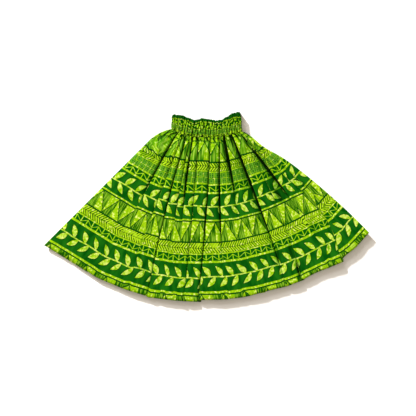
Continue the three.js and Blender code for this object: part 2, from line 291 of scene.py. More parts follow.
def pleat_lines(c, side, down):
    """Plan of all pleat lines at one level. side is -1 for the cloth on their left, +1 for the right."""
    swell = c["shoulder"] * (1 - (1 - min(down / SHOULDER_REACH, 1)) ** 2)
    drop = SHOULDER_FALL * swell**2 / np.maximum(np.abs(c["shoulder"]), 1)
    start = np.stack([c["waist"] + swell, seam_y(c["waist"]) - drop], axis=1)
    line = c["hem"] - start
    line /= np.linalg.norm(line, axis=1)[:, None]
    across = np.stack([-line[:, 1], line[:, 0]], axis=1)
    end = c["hem"] - line * (side * c["step"] / 2)[:, None]
    bend = 4 * c["bow"] * down * (1 - down) + c["sway"] * math.sin(2 * math.pi * down)
    bend = bend - c["pinch"] * math.exp(-(((down - PINCH_AT) / PINCH_REACH) ** 2))
    return lerp(start, end, down) + across * bend[:, None]


class Panel:
    """One pleated half of the skirt, worked out level by level in millimetres."""

    def __init__(self, pleats, face_steps, lap_steps, height, fall, ripple, below, drag=0, arch=0):
        self.c = pleat_columns(pleats)
        self.faces = len(pleats) - 1
        even = np.linspace(0, 1, face_steps)
        self.face_share = lerp(even, 1 - (1 - even) ** 2, 0.5)  # closer together towards the pleat
        self.lap_share = np.linspace(0, 1, lap_steps + 2)[1:-1]
        self.height, self.fall, self.ripple = height, fall, ripple
        self.below = below  # how far its own side edges lie under the front's
        self.drag, self.arch = (np.zeros(self.faces) + value for value in (drag, arch))
        self.hem_left = pleat_lines(self.c, 1, 1)[:-1]
        self.hem_right = pleat_lines(self.c, -1, 1)[1:]
        chord = self.hem_right - self.hem_left
        self.grain = chord / np.linalg.norm(chord, axis=1)[:, None]
        self.sewn_left = pleat_lines(self.c, 1, 0)[:-1]
        self.sewn_right = pleat_lines(self.c, -1, 0)[1:]

    # painted shade of the gathering; none unless the panel is given it
    def gather_painted_shade(self, waist_x, down):
        return 0 * waist_x

    def crumple(self, plan, down):
        return 0 * plan[..., 0]

    # painted shade along soft folds; none unless the panel is given it
    def folds(self, plan):
        return 0 * plan[..., 0]

    def edges(self, down):
        """Where each face of cloth begins and ends in plan, its way, and the width of every tuck."""
        left, right = pleat_lines(self.c, 1, down)[:-1], pleat_lines(self.c, -1, down)[1:]
        chord = right - left
        width = np.linalg.norm(chord, axis=1)
        way = chord / width[:, None]
        lap = at_places(self.c["lap"], down)
        tuck, ramp = np.clip(lap, 0, None), np.clip(-lap, 0, None)
        narrow = np.minimum(np.append(width, 1e3), np.append(1e3, width))
        tuck, ramp = np.minimum(tuck, 0.45 * narrow), np.minimum(ramp, 0.6 * narrow)
        begin = left + way * (tuck / 4 + ramp / 2)[:-1, None]
        finish = right + way * (tuck * 1.25 - ramp / 2)[1:, None]
        begin[0], finish[-1] = left[0], right[-1]
        return begin, finish, way, tuck

    def height_and_crease(self, plan, across, waist_x, size, tuck, down):
        """Height of the faces and the painted shade of their creases, from how near each pleat is.

        across runs from -1 to 1 over the whole panel, and size is the width of each face."""
        c, share = self.c, self.face_share[None, :]
        puff = lerp(MOUTH_START, 1, min(down / MOUTH_REACH, 1))
        deep = np.maximum(at_places(c["deep"], down), 0) * puff
        fall = self.fall(deep, down)
        dive, lip = fall[1:][:, None], fall[:-1][:, None]
        gutter = (np.maximum(at_places(c["gap"], down), 0) + tuck)[1:, None]
        gutter = np.minimum(gutter, 0.5 * size)
        reach = np.minimum(at_places(c["roll"], down)[1:, None], size - gutter)
        from_lip = (1 - share) * size

        z = self.height(across, down) - dive * roll_off(np.maximum(from_lip - gutter, 0), reach)
        z -= 0.25 * lip * roll_off(share * size, np.minimum(0.3 * size, 3 + 0.5 * np.abs(lip)))
        z += self.ripple(waist_x, plan, share, size, down)
        left_edge = roll_off((share * size)[0], SIDE_ROLL)
        right_edge = roll_off(((1 - share) * size)[-1], SIDE_ROLL)
        z[0] -= (z[0] - read_table(SIDE_HEIGHTS, "left", down) + self.below) * left_edge
        z[-1] -= (z[-1] - read_table(SIDE_HEIGHTS, "right", down) + self.below) * right_edge

        # painted shade: the gutter is painted near black, and the cloth rounding down into it a softer shade
        gutter_painted_black = smooth((gutter + 0.35 * reach - from_lip) / (0.35 * reach + 0.5)) * np.clip(dive / 8, 0, 1)
        soft = np.clip(1 - (from_lip - gutter) / (1.8 * reach), 0, 1) ** 1.4 * np.clip(dive / 14, 0, 0.66)
        # painted shade of the gathering and of the soft folds is added to that of the pleats
        painted_shade = np.maximum(gutter_painted_black, soft) + self.gather_painted_shade(waist_x, down) + self.folds(plan)
        return z, np.clip(painted_shade, 0, 1)

    def place_on_cloth(self, plan, down):
        """Place in the print, along the cloth and up from its hem, of points in plan."""
        c, share = self.c, self.face_share[None, :]
        from_hem = plan - self.hem_left[:, None, :]
        along = (from_hem * self.grain[:, None, :]).sum(-1) * at_places(c["spread"], down)[:-1, None]
        along += at_places(c["along"], down)[:-1, None]
        up = from_hem[..., 1] * self.grain[:, None, 0] - from_hem[..., 0] * self.grain[:, None, 1]
        up += at_places(c["lift"], down)[:-1, None]
        hem_share = smooth((down - HEM_DRAG_START) / (1 - HEM_DRAG_START))
        up += (self.drag * hem_share)[:, None] * smooth(8 * share * (1 - share))
        loose = self.crumple(plan, down)
        up += LOOSE_PRINT * loose * drift(plan[..., 0] / 15 + 1, plan[..., 1] / 22)
        along += LOOSE_PRINT * loose * drift(plan[..., 1] / 13 + 4, plan[..., 0] / 24)
        return along, up

    def join(self, face, lap):
        """One row out of the faces' values and those of the laps between them."""
        rows = [face[0]]
        for k in range(self.faces - 1):
            rows += [lap[k], face[k + 1]]
        return np.concatenate(rows)

    def level(self, down):
        """Points (x, y, z), place on the cloth (along, up) and painted crease shade across one level."""
        share = self.face_share[None, :]
        begin, finish, way, tuck = self.edges(down)
        size = np.linalg.norm(finish - begin, axis=1)[:, None]
        plan = lerp(begin[:, None, :], finish[:, None, :], share[..., None])
        inwards = np.stack([-way[:, 1], way[:, 0]], axis=1) * (self.arch * smooth(down * 2 - 1))[:, None]
        plan = plan + inwards[:, None, :] * (4 * share * (1 - share))[..., None]
        sewn = lerp(self.sewn_left[:, None, :], self.sewn_right[:, None, :], share[..., None])
        sag = (seam_y(sewn[..., 0]) - sewn[..., 1]) * (1 - min(down / MOUTH_REACH, 1))
        x_left, x_right = begin[0, 0], finish[-1, 0]
        across = np.clip((plan[..., 0] - x_left) / (x_right - x_left) * 2 - 1, -1, 1)
        z, painted_shade = self.height_and_crease(plan, across, sewn[..., 0], size, tuck, down)
        along, up = self.place_on_cloth(plan, down)

        # The laps turn under the pleats' lips, or ramp down from them
        t = self.lap_share
        turn = np.sin(2 * np.pi * t) / (2 * np.pi)
        mid_way = (way[:-1] + way[1:]) / 2
        turn_under = np.pi * tuck[1:-1, None] * turn

        def between(values, share=t):
            return lerp(values[:-1, -1:], values[1:, :1], share[None, :])

        x, y = plan[..., 0], plan[..., 1]
        # painted shade: a lap hidden under a lip takes the lip's gutter shade, an open ramp that of the cloth
        # beside it
        hidden = (tuck > 0)[1:-1, None] * (1 - smooth((t - 0.62) / 0.25))
        lap_painted_shade = np.maximum(between(painted_shade) * (tuck == 0)[1:-1, None], hidden * painted_shade[:-1, -1:])
        x = self.join(x, between(x) + mid_way[:, :1] * turn_under)
        y = self.join(y, between(y) + mid_way[:, 1:] * turn_under) + self.join(sag, between(sag))
        z = self.join(z, between(z, t - turn))
        cloth = np.column_stack([self.join(values, between(values)) for values in (along, up)])
        return np.column_stack([x, y, z]), cloth, self.join(painted_shade, lap_painted_shade)

    def levels(self, downs, turn_rows=0):
        """All levels from the seam to the hem, then the rows of its turned-up hem, if it has any."""
        points, cloth, painted_shade = (np.array(x) for x in zip(*(self.level(d) for d in downs)))
        if turn_rows:
            rise = points[-2] - points[-1]
            rise /= np.linalg.norm(rise[:, :2], axis=1)[:, None]
            for row in range(turn_rows):
                share = (row + 0.15) / (turn_rows - 0.85)
                turned = points[len(downs) - 1] + rise * HEM_TURN * share
                turned[:, 2] -= np.minimum(HEM_TURN_DROP, 0.6 * (turned[:, 2] - 0.4))
                points = np.concatenate([points, turned[None]])
                behind = cloth[len(downs) - 1].copy()
                behind[:, 1] = -HEM_TURN * share
                cloth = np.concatenate([cloth, behind[None]])
                painted_shade = np.concatenate([painted_shade, painted_shade[-1:]])
        return points, cloth, painted_shade


# ---------------------------------------------------------------- meshes


def sheet_mesh(name, points, cloth, painted_shade):
    """A grid bent to the given rows of points, with its place on the cloth as a UV map."""
    rows, columns = points.shape[:2]
    bm = bmesh.new()
    bmesh.ops.create_grid(bm, x_segments=columns - 1, y_segments=rows - 1, size=0.5)
    mesh = bpy.data.meshes.new(name)
    bm.to_mesh(mesh)
    bm.free()
    flat = np.zeros(len(mesh.vertices) * 3)
    mesh.vertices.foreach_get("co", flat)
    flat = flat.reshape(-1, 3)
    column = np.rint((flat[:, 0] + 0.5) * (columns - 1)).astype(int)
    row = np.rint((0.5 - flat[:, 1]) * (rows - 1)).astype(int)
    mesh.vertices.foreach_set("co", (points[row, column] * MM).ravel())
    corner = np.zeros(len(mesh.loops), int)
    mesh.loops.foreach_get("vertex_index", corner)
    layer = mesh.uv_layers.new(name="cloth")
    layer.data.foreach_set("uv", (cloth[row[corner], column[corner]] * MM).ravel())
    # painted shade: how dark each point's colour is made, read by the material
    depth = mesh.attributes.new("painted_shade", "FLOAT", "POINT")
    depth.data.foreach_set("value", painted_shade[row, column])
    mesh.shade_smooth()
    mesh.update()
    piece = bpy.data.objects.new(name, mesh)
    bpy.context.scene.collection.objects.link(piece)
    return piece


def thicken(piece, thickness, offset):
    wall = piece.modifiers.new("cloth", "SOLIDIFY")
    wall.thickness = thickness * MM
    wall.offset = offset
    wall.use_even_offset = False
    wall.material_offset = 1


def levels_of(count, fine):
    """Levels from 0 to 1, closer together near the waist."""
    share = np.linspace(0, 1, count)
    return fine * share + (1 - fine) * share**2


def front_height(across, down):
    crown = read_table(FRONT_HEIGHTS, "crown", down)
    rim = read_table(FRONT_HEIGHTS, "rim", down)
    corner = CORNER_RISE * smooth((across - 0.5) / 0.5) * smooth((down - 0.5) / 0.5)
    return rim + (crown - rim) * (1 - np.abs(across) ** CROWN_POWER) + corner


def gathers(waist_x, down):
    """Small ruffles of the gathering under the casing, which merge into pipes further down."""
    fine = 3.0 * (1 - smooth(down / 0.06)) * np.cos(fine_phase(waist_x))
    pipes = smooth(down / 0.02) * (1 - smooth(down / 0.24))
    coarse = 3.0 * pipes * np.cos(2 * np.pi * waist_x / 15 + 1.1 * np.sin(waist_x / 23))
    return fine + coarse


def fine_phase(waist_x):
    return 2 * np.pi * waist_x / 7 + 1.8 * np.sin(waist_x / 9)


def gather_painted_shade(waist_x, down):
    """Painted shade in the gathering's troughs and in the mouths of its ruffles."""
    mouths = np.clip(-np.cos(fine_phase(waist_x)), 0, 1) ** 2 * (1 - smooth(down / 0.036))
    return troughs(waist_x, down, 1.6) / 6.5 + 0.62 * mouths


def crumple(plan, down):
    """Share of the crumpling at the shoulders, where the gathered cloth spreads out sideways."""
    left = smooth((-105 - plan[..., 0]) / 60)
    right = 0.4 * smooth((plan[..., 0] - 125) / 50)
    return np.maximum(left, right) * (1 - smooth((down - 0.06) / 0.2))


def troughs(waist_x, down, power):
    """Depth of the short troughs, with sides that are steeper where power is more."""
    depth = 0 * waist_x
    for place, deep, width, reach in zip(*FRONT_GATHERS.values()):
        near = np.exp(-(((waist_x - place) / width) ** 2) * power)
        depth = depth + deep * near * (1 - smooth(down / reach)) * smooth((down + 0.008) / 0.02)
    return depth


def soft_folds(plan):
    """Depth of the soft folds at places in plan, which is also how much painted shade lies along them."""
    depth = np.zeros(plan.shape[:-1])
    for fold in SOFT_FOLDS:
        start, end = np.array(fold["start"], float), np.array(fold["end"], float)
        way = end - start
        share = np.clip(((plan - start) @ way) / (way @ way), 0, 1)
        off = np.linalg.norm(plan - start - share[..., None] * way, axis=-1) / fold["width"]
        fade = 0.35 + 0.65 * np.sin(np.pi * share) ** 0.7
        depth = np.maximum(depth, fold["dark"] * fade * np.exp(-off * off))
    return depth


def front_ripple(waist_x, plan, share, size, down):
    middle = 4 * share * (1 - share)
    bulge = np.minimum(0.22 * size, 8.5) * (1 - smooth(down / 0.6)) * middle**0.8
    soft = 1.5 * drift(plan[..., 0] / 28, plan[..., 1] / 90 + 3) * smooth(down / 0.2)
    loose = crumple(plan, down) * drift(plan[..., 0] / 13 - plan[..., 1] / 30, plan[..., 1] / 17 + 2)
    folds = 6 * loose * smooth(share * size / 14) * smooth((1 - share) * size / 10)
    hollows = troughs(waist_x, down, 1) + 4 * soft_folds(plan)
    return bulge + soft * middle + gathers(waist_x, down) - hollows + folds


def front_fall(deep, down):
    room = read_table(FRONT_HEIGHTS, "crown", down) - 4.5
    return np.minimum(deep, room)


def skirt_front():
    panel = Panel(
        FRONT_PLEATS, FRONT_FACE_STEPS, LAP_STEPS, front_height, front_fall, front_ripple,
        below=0, drag=HEM_DRAG, arch=HEM_ARCH,
    )
    panel.gather_painted_shade, panel.crumple, panel.folds = gather_painted_shade, crumple, soft_folds
    points, cloth, painted_shade = panel.levels(levels_of(FRONT_LEVELS, 0.4), HEM_TURN_ROWS)
    points[..., 2] = np.maximum(points[..., 2], FRONT_LEAST_HEIGHT)
    piece = sheet_mesh("skirt_front_cloth", points, cloth, painted_shade)
    thicken(piece, CLOTH, -1)
    return piece


def skirt_back():
    def height(across, down):
        return np.full_like(across, BACK_HEIGHT)

    def fall(deep, down):
        return -deep

    def ripple(waist_x, plan, share, size, down):
        return 0 * share

    panel = Panel(BACK_PLEATS, BACK_FACE_STEPS, LAP_STEPS, height, fall, ripple, BACK_BELOW)
    points, cloth, painted_shade = panel.levels(levels_of(BACK_LEVELS, 0.6))
    piece = sheet_mesh("skirt_back_cloth", points, cloth, painted_shade)
    thicken(piece, CLOTH, 1)
    return piece


def ruffle_curve(per_ruffle):
    """One ruffle as a curve of even speed: its x and z from 0 to 1, and its height in widths."""
    s = np.linspace(0, 1, per_ruffle * 8 + 1)
    slope = RUFFLE_CURL * np.cos(2 * np.pi * s)
    x = np.concatenate([[0], np.cumsum((np.cos(slope[1:]) + np.cos(slope[:-1])) / 2)])
    z = np.concatenate([[0], np.cumsum((np.sin(slope[1:]) + np.sin(slope[:-1])) / 2)])
    tall = z.max() - z.min()
    return s, x / x[-1], (z - z.min()) / tall, tall / x[-1]


def ruffle_borders(up, side):
    """Where each ruffle of the casing meets the next at one height, uneven but in order."""
    number = np.arange(RUFFLES + 1)
    uneven = np.sin(number * 2.4 + 6.5 * up + side) + 0.8 * np.sin(number * 4.1 - 9 * up + 1)
    border = number + 0.27 * uneven * np.sin(np.pi * number / RUFFLES) ** 0.3
    border[0], border[-1] = 0, RUFFLES
    return border


def casing_print(place, x, up, side):
    """Place in the print, along the cloth and up from its hem, of one row of the casing."""
    along = place * RUFFLE_CLOTH + 15 * drift(place * 0.5 + side, up * 3)
    along = along + 9 * drift(place * 1.9, up * 11)
    height = CASING_PRINT_START + CASING_PRINT * up + read_table(FRILL, "more", x) * up
    height = height + 5 * drift(place * 1.1, up * 4 + 2)
    height = height + 5 * drift(place * 3.1 + 4, up * 13) * smooth(4 * (1 - up))
    return np.stack([along, height], axis=1)


def casing_painted_shade(whole, wave, x, up, side):
    """Painted shade in the hollows between the ruffles and at the holes at the seam, over a little darkening
    of the whole casing.
    """
    near_seam = smooth((0.16 - up) / 0.16)
    patchy = np.sin(whole * 2.4 + 17 * up + 2 * side) + np.sin(whole * 5.3 - 23 * up)
    shade = np.clip(0.30 + 0.40 * patchy + 0.3 * near_seam, 0, 1)
    holes = troughs(x, 0.012, 1.6) / 9 * near_seam
    return 0.045 + (1 - wave) ** 0.8 * shade + holes


def casing(name, front):
    """One side of the ruched waist casing: ruffles drawn in by the rows of stitching."""
    rows, columns = CASING_ROWS, RUFFLES * RUFFLE_STEPS + 1
    place = np.linspace(0, RUFFLES, columns)
    s, curve_x, curve_z, tall = ruffle_curve(RUFFLE_STEPS)
    points, cloth = np.zeros((rows, columns, 3)), np.zeros((rows, columns, 2))
    painted_shade = np.zeros((rows, columns))
    whole, part = np.floor(place), place - np.floor(place)
    wave = np.interp(part, s, curve_z)
    side = 0 if front else 5
    for row in range(rows):
        up = 1 - row / (rows - 1)
        tight = np.min(np.abs(np.array(CASING_CHANNELS) - up)) / CHANNEL_REACH
        puff = lerp(0.84, 1, smooth(tight))
        border = ruffle_borders(up, side)
        nearer = np.minimum(whole.astype(int), RUFFLES - 1)
        bent = np.interp(part, s, curve_x)
        bent[-1] = 1
        wander = 0.3 * drift(place * 0.8, up * 4 + side) * np.sin(np.pi * place / RUFFLES)
        across = (lerp(border[nearer], border[nearer + 1], bent) + wander) / RUFFLES * 2 - 1
        across = np.clip(across, -1, 1)
        half = lerp(WAIST_HALF, CASING_TOP_HALF, up)
        frayed = 1.6 * drift(up * 11 + side, np.sign(across) * 3) * np.abs(across) ** 12
        x = across * half + np.sign(across) * frayed
        dome = CASING_RIM + (CASING_CROWN - CASING_RIM) * (1 - np.abs(across) ** CROWN_POWER)
        tallness = 1.05 + 0.22 * drift(place * 0.9 + 9, up * 5)
        room = np.minimum(tall * 2 * half / RUFFLES * puff * tallness, dome * (0.54 if front else 0.48))
        z = dome - 2 * up - room * (1 - wave) if front else 0.7 + room * wave
        roll = roll_off((1 - np.abs(across)) * WAIST_HALF, 5)
        z -= (z - (CASING_SIDE if front else CASING_SIDE - 3)) * roll
        bottom = seam_y(x) + 0.3
        top = seam_y(x) + CASING_HEIGHT + read_table(TOP_EDGE, "lift", x)
        flare = smooth((up - 0.8) / 0.2) * 1.9 * drift(place * 1.7, 3 + side)
        points[row] = np.stack([x, lerp(bottom, top, up) + flare, z], axis=1)
        cloth[row] = casing_print(place, x, up, side)
        painted_shade[row] = casing_painted_shade(whole, wave, x, up, side)
    piece = sheet_mesh(name, points, cloth, np.clip(painted_shade, 0, 1))
    thicken(piece, CASING_CLOTH, -1)
    return piece


# ---------------------------------------------------------------- node arithmetic


class Field:
    """A number that changes over a surface, inside one node tree."""

    def __init__(self, tree, socket):
        self.tree, self.socket = tree, socket

    def math(self, operation, *others, clamp=False):
        node = self.tree.nodes.new("ShaderNodeMath")
        node.operation, node.use_clamp = operation, clamp
        for index, value in enumerate((self, *others)):
            plug(self.tree, value, node.inputs[index])
        return Field(self.tree, node.outputs[0])

    def __add__(self, other):
        return self.math("ADD", other)

    def __sub__(self, other):
        return self.math("SUBTRACT", other)

    def __mul__(self, other):
        return self.math("MULTIPLY", other)

    def __truediv__(self, other):
        return self.math("DIVIDE", other)

    __radd__, __rmul__ = __add__, __mul__

    def __rsub__(self, other):
        return self.math("MULTIPLY", -1).math("ADD", other)

    def absolute(self):
        return self.math("ABSOLUTE")

    def fraction(self):
        return self.math("FRACT")

    def floor(self):
        return self.math("FLOOR")

    def sine(self):
        return self.math("SINE")

    def least(self, other):
        return self.math("MINIMUM", other)

    def most(self, other):
        return self.math("MAXIMUM", other)

    def over(self, edge, soft=0.0005):
        """1 where this is more than the edge, 0 where it is less."""
        return ((self - edge) * (1 / soft)).math("ADD", 0.5, clamp=True)

    def under(self, edge, soft=0.0005):
        return 1 - self.over(edge, soft)

    def within(self, low, high, soft=0.0005):
        return self.over(low, soft) * self.under(high, soft)


def plug(tree, value, socket):
    if isinstance(value, Field):
        tree.links.new(value.socket, socket)
    elif isinstance(value, bpy.types.NodeSocket):
        tree.links.new(value, socket)
    else:
        socket.default_value = value


def blend(tree, share, first, second):
    """Colour first where share is 0, second where it is 1."""
    node = tree.nodes.new("ShaderNodeMix")
    node.data_type = "RGBA"
    plug(tree, share, node.inputs["Factor"])
    plug(tree, first, node.inputs[6])
    plug(tree, second, node.inputs[7])
    return node.outputs[2]


def tint(tree, share, colour, by):
    """The colour where share is 0, multiplied by another one where it is 1."""
    node = tree.nodes.new("ShaderNodeMix")
    node.data_type, node.blend_type = "RGBA", "MULTIPLY"
    plug(tree, share, node.inputs["Factor"])
    plug(tree, colour, node.inputs[6])
    plug(tree, by, node.inputs[7])
    return node.outputs[2]


def noise(tree, along, up, scale, stretch=1.0, detail=2.0, seed=0.0):
    """Smooth noise from 0 to 1 over the cloth; stretch draws it out upwards."""
    place = tree.nodes.new("ShaderNodeCombineXYZ")
    plug(tree, along * scale, place.inputs[0])
    plug(tree, up * (scale / stretch), place.inputs[1])
    place.inputs[2].default_value = seed
    node = tree.nodes.new("ShaderNodeTexNoise")
    node.inputs["Scale"].default_value = 1
    node.inputs["Detail"].default_value = detail
    tree.links.new(place.outputs[0], node.inputs["Vector"])
    return Field(tree, node.outputs[0])


def chance(tree, number, seed):
    """A random number from 0 to 1 for each whole number."""
    node = tree.nodes.new("ShaderNodeTexWhiteNoise")
    node.noise_dimensions = "1D"
    plug(tree, number + seed, node.inputs["W"])
    return Field(tree, node.outputs[0])


def linear(red, green, blue):
    """A colour from its screen values."""
    def channel(value):
        value /= 255
        return value / 12.92 if value <= 0.04045 else ((value + 0.055) / 1.055) ** 2.4
    return (channel(red), channel(green), channel(blue), 1)


def new_group(name, inputs, outputs):
    tree = bpy.data.node_groups.new(name, "ShaderNodeTree")
    for socket, kind in inputs:
        tree.interface.new_socket(socket, in_out="INPUT", socket_type=kind)
    for socket, kind in outputs:
        tree.interface.new_socket(socket, in_out="OUTPUT", socket_type=kind)
    entry, leave = tree.nodes.new("NodeGroupInput"), tree.nodes.new("NodeGroupOutput")
    return tree, entry, leave


# ---------------------------------------------------------------- the print

DEEP_GREEN = linear(28, 112, 14)
SHADE_GREEN = linear(2, 84, 6)
DARK_GREEN = linear(0, 70, 2)
LINE_GREEN = linear(0, 78, 10)
MID_GREEN = linear(6, 92, 6)
HATCH_DARK = linear(16, 88, 0)
HATCH_LIGHT = linear(100, 162, 6)
HATCH_PALE = linear(150, 194, 52)
LIME = linear(180, 224, 18)
STRONG_LIME = linear(150, 202, 4)
PALE_LIME = linear(238, 252, 128)
DEEP_LIME = linear(126, 186, 2)
FRESH_LIME = linear(164, 230, 10)
STROKE_LIME = linear(190, 236, 30)
BROAD_DARK = linear(34, 108, 10)
BROAD_LIGHT = linear(112, 174, 14)
BROAD_PALE = linear(172, 212, 72)
MAT_GREEN = linear(78, 152, 26)
STRAND_LIME = linear(146, 204, 56)
FADED_GREEN = linear(96, 140, 40)
SLUB_GREEN = linear(20, 80, 6)

# Painted shade: colours by which the creases' shade is painted into the cloth
PAINTED_SHADE_TINT = (0.30, 0.56, 0.25, 1)
PAINTED_SHADE_BLACK = linear(0, 20, 0)
PAINTED_SHADE_DARKEST = 0.97  # how near to black the deepest painted shade is
THREADS = 1100  # of the weave in a metre

LEAF_PITCH = 0.054
LEAF_LENGTH, LEAF_HALF_WIDTH = 0.0560, 0.0118
TRIANGLE_PITCH = 0.081
TRIANGLE_START = 0.0125
HEM_PITCH = 0.092  # fitted, as the print's place on each face is
HEM_START = 0.0170
CHEVRON_PITCH, CREST_CHEVRON_PITCH = 0.0116, 0.031

# Bands of the print upwards from the hem, in metres: where each begins
BANDS = dict(
    hem_triangles=0.0, hem_line=0.0233, low_line=0.0290, low_leaves=0.0378, low_edge=0.1586,
    low_zigzag=0.1675, low_thin=0.1950, low_chevrons=0.2004, low_dark=0.2450, triangles=0.2500,
    top_dark=0.3320, high_line=0.3380, high_leaves=0.3442, high_edge=0.4530, high_zigzag=0.4610,
    high_thin=0.4890, mat=0.4955, mat_line=0.5435, high_chevrons=0.5480, high_dark=0.5845,
    high_triangles=0.5900, crest_dark=0.6670, crest_chevrons=0.6720, crest_thin=0.7030,
    crest_mat=0.7060, crest_line=0.7440, crest_zigzag=0.7490, crest_edge=0.7910, crest_leaves=0.7980,
)
ORDER = sorted(BANDS, key=BANDS.get)


def band_limits(name):
    index = ORDER.index(name)
    last = index == len(ORDER) - 1
    return BANDS[name], (9.0 if last else BANDS[ORDER[index + 1]])


def garland(tree, along, up, name, way, upper, lower):
    """A stem with leaves in turn above and below it, all pointing the same way (-1 or +1).

    upper and lower are the places of the first leaf's foot on either side of the stem."""
    low, high = band_limits(name)
    middle = (low + high) / 2
    stem_up = up - middle - 0.0012 * (along * (2 * math.pi / 0.13)).sine()
    ink = stem_up.absolute().under(0.0026, 0.0012)
    rim, vein = ink * 0, ink * 0
    for side, start, lean in ((1, upper, 35), (-1, lower, 41)):
        centre = way * LEAF_LENGTH / 2 * math.sin(math.radians(lean))
        cell = (along - centre - start) * (1 / LEAF_PITCH) + 0.5
        number = cell.floor()
        size = 0.86 + 0.2 * chance(tree, number, 3.7 + side)
        tilt = math.radians(lean)
        dx = (cell.fraction() - 0.5) * LEAF_PITCH + centre
        dy = stem_up * side
        reach = (dx * (way * math.sin(tilt)) + dy * math.cos(tilt)) / LEAF_LENGTH
        off = dx * (way * math.cos(tilt)) - dy * math.sin(tilt)
        share = reach.math("ADD", 0.0, clamp=True)
        full = share * (1 - share) * 4
        half_width = full * (1.16 - share * 0.32) * size * LEAF_HALF_WIDTH
        gap = half_width - (off + 0.004 * full).absolute()
        inside = reach.within(0.0, 1.0, 0.02)
        ink = ink.most(gap.over(0.0007, 0.0012) * inside)
        rim = rim.most(gap.over(-0.0022, 0.0030) * inside)
        vein = vein.most((off + 0.004 * full).absolute().under(0.0006, 0.0010) * gap.over(0.003, 0.002))
    return ink, rim, vein


def zigzag(along, up, name, thin, start):
    """A thin zigzag with a tick from every tooth to the line it points away from."""
    low, high = band_limits(name)
    bottom, top = low + 0.0038, high - 0.0055
    cell = ((along - start) * (1 / LEAF_PITCH)).fraction()
    tooth = (cell - 0.5).absolute() * 2
    line = bottom + (top - bottom) * tooth
    gap = (up - line).absolute() * 0.78
    ink = gap.under(thin, 0.0012)
    at_peak = ((cell - 0.5).absolute() - 0.5).absolute() * LEAF_PITCH
    at_valley = (cell - 0.5).absolute() * LEAF_PITCH
    ticks = at_peak.under(0.0019, 0.0010) * (up - line).under(0)
    ticks = ticks.most(at_valley.under(0.0019, 0.0010) * (up - line).over(0))
    return ink.most(ticks)


def chevrons(tree, along, up, name, way):
    """Two rows of slanting strokes that meet in the middle and point to way."""
    low, high = band_limits(name)
    middle, half = (low + high) / 2, (high - low) / 2
    off = (up - middle).absolute()
    crest = name == "crest_chevrons"
    pitch, wide = (CREST_CHEVRON_PITCH, 0.37) if crest else (CHEVRON_PITCH, 0.325)
    place = (along + off * (way * 0.72)) * (1 / pitch)
    bright = chance(tree, place.floor(), 11.3)
    stroke = ((place.fraction() - 0.5).absolute() - (bright - 0.5) * 0.12).under(wide, 0.09)
    run = noise(tree, along, up, 24, seed=12.0).over(0.60, 0.07) * (0 if crest else 0.75)
    ends = off.within(0.0010, half - 0.0014, 0.0012)
    return stroke.most(run) * ends, bright


def triangles(along, up, top, height, pitch, way, start):
    """Tall triangles that stand and hang in turn, each half hatched and half mottled."""
    fall = (top - up) * (1 / height)
    cell = ((along - start) * (way / pitch) + 0.5).fraction()
    near = (cell - 0.5).absolute()
    side = (cell - 0.5).over(0.0, 0.004)
    edge = near - fall * 0.5
    standing = edge.under(0.0, 0.004)
    lime = standing * side + (1 - standing) * (1 - side)
    line = (edge.absolute() * pitch * 0.9).under(0.0017, 0.0012)
    return lime, line


def mat(along, up, name):
    """Plaited mat: squares within squares beside squares of upright and level strands."""
    low, high = band_limits(name)
    size = (high - low) / 2
    a, b = along * (1 / size), (up - low) * (1 / size)
    odd = ((a.floor() + b.floor()) * 0.5).fraction().over(0.25, 0.01)
    across, rise = (a.fraction() - 0.5).absolute(), (b.fraction() - 0.5).absolute()
    ring = across.most(rise)
    rings = (ring - 0.25).absolute().under(0.055, 0.05)
    upright = ((across * 3.0).fraction() - 0.5).absolute().over(0.36, 0.10)
    level = (rise - 0.2).absolute().under(0.045, 0.05) * 0.7
    return odd * rings + (1 - odd) * upright.most(level), ring.over(0.45, 0.04)


